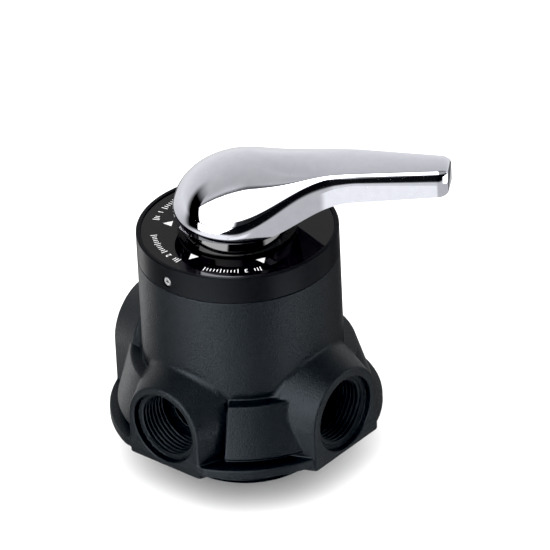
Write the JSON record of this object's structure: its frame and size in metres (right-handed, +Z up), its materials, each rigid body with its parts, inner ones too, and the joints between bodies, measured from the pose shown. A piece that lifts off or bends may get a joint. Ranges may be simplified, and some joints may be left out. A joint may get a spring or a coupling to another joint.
{
  "type": "multiport valve",
  "caption": "Round manual filter valve: a chrome lever over a flat dial, threaded side ports, a base flange and a threaded tank neck below.",
  "frame": {"origin": "on the valve's axis, at the open end of the tank neck", "axes": "+Z up along the valve's axis, +X out of the inlet port, -X out of the outlet port, -Y out of the drain port"},
  "size_m": [0.1534, 0.1263, 0.1629],
  "materials": {
    "body_plastic": "fine moulded texture, satin",
    "ring_plastic": "smooth satin",
    "dial_gloss": "polished, with printed white marks",
    "hub_gloss": "polished",
    "chrome": "mirror plated",
    "steel": "machined stainless",
    "brass": "machined",
    "black_steel": "blackened",
    "seal_rubber": "moulded, matt",
    "white_plastic": "moulded, satin",
    "disc_ceramic": "ground and lapped"
  },
  "bodies": {
    "housing": {"valve_body": "body_plastic", "tank_neck_tube": "body_plastic", "riser_sleeve": "body_plastic", "tank_o_ring": "seal_rubber", "riser_o_ring": "seal_rubber", "riser_seal_retainer": "white_plastic", "disc_gasket": "seal_rubber", "fixed_disc": "disc_ceramic", "locating_pins": "steel", "thrust_washer": "white_plastic", "bonnet": "body_plastic", "bonnet_o_ring": "seal_rubber", "cap_ring": "ring_plastic", "ring_insert": "black_steel", "ring_set_screw": "steel", "dial_plate": "dial_gloss"},
    "rotor": {"moving_disc": "disc_ceramic", "moving_disc_gasket": "seal_rubber", "drive_pins": "steel", "moving_seat": "body_plastic", "stem_insert": "brass", "stem_o_rings": "seal_rubber", "lever_hub": "hub_gloss", "hub_screw": "steel", "hub_screw_washer": "steel", "lever_grub_screw": "steel", "lever": "chrome"}
  },
  "joints": [
    {"name": "lever_turn", "type": "hinge", "parent": "housing", "child": "rotor", "pos_m": [0, 0, 0.1], "axis": [0, 0, 1], "range_deg": [0, 120]}
  ]
}
